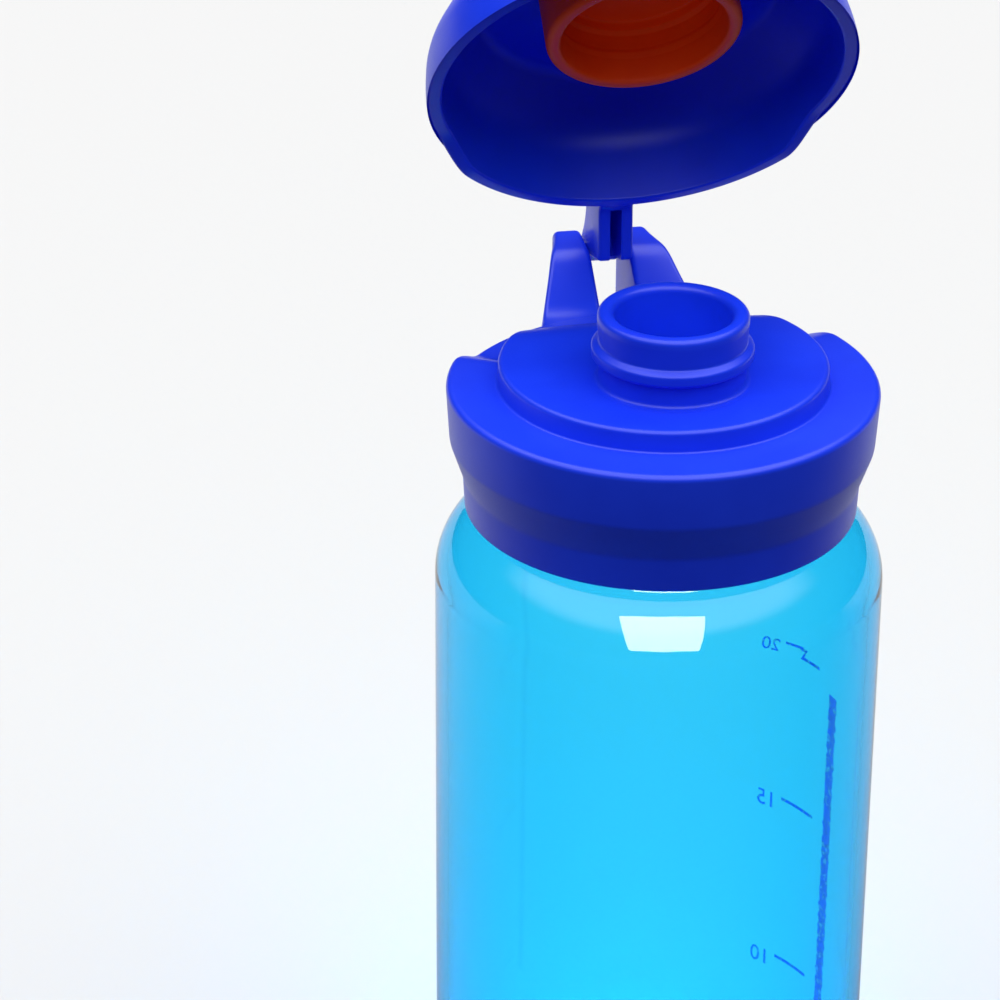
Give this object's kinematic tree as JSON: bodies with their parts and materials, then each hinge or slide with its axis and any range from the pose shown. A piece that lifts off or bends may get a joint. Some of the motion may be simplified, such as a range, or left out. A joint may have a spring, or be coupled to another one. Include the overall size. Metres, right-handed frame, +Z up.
{
  "type": "drinking bottle with screw lid and flip cap",
  "caption": "Wide-mouth translucent drinking bottle with a threaded neck, screw lid with spout, hinged flip cap standing open and a silicone spout seal.",
  "frame": {"origin": "on the bottle's axis, in the plane of its foot ring", "axes": "+Z up along the bottle's axis, +Y towards the cap's hinge, -Y towards the drinker"},
  "size_m": [0.082, 0.1046, 0.2809],
  "materials": {
    "translucent_shell": "clear tinted copolyester, glossy",
    "lid_plastic": "moulded polypropylene, satin",
    "clear_silicone": "soft silicone, matte",
    "pin_steel": "stainless wire, satin",
    "orange_silicone": "soft silicone, satin"
  },
  "bodies": {
    "bottle": {"bottle_body": "translucent_shell"},
    "gasket": {"lid_gasket": "clear_silicone"},
    "lid": {"screw_lid": "lid_plastic", "hinge_pin": "pin_steel"},
    "cap": {"flip_cap": "lid_plastic", "spout_seal": "orange_silicone"}
  },
  "joints": [
    {"name": "lid_lift", "type": "slide", "parent": "bottle", "child": "gasket", "axis": [0, 0, 1], "range_m": [0, 0.0101]},
    {"name": "lid_screw", "type": "hinge", "parent": "gasket", "child": "lid", "pos_m": [0, 0, 0.18], "axis": [0, 0, 1], "range_deg": [0, 720]},
    {"name": "cap_hinge", "type": "hinge", "parent": "lid", "child": "cap", "pos_m": [0, 0.0605, 0.19735], "axis": [-1, 0, 0], "range_deg": [-52.4, 97.6]}
  ],
  "couplings": [
    {"joint": "lid_lift", "follows": "lid_screw", "m_per_rad": 0.00079577}
  ]
}
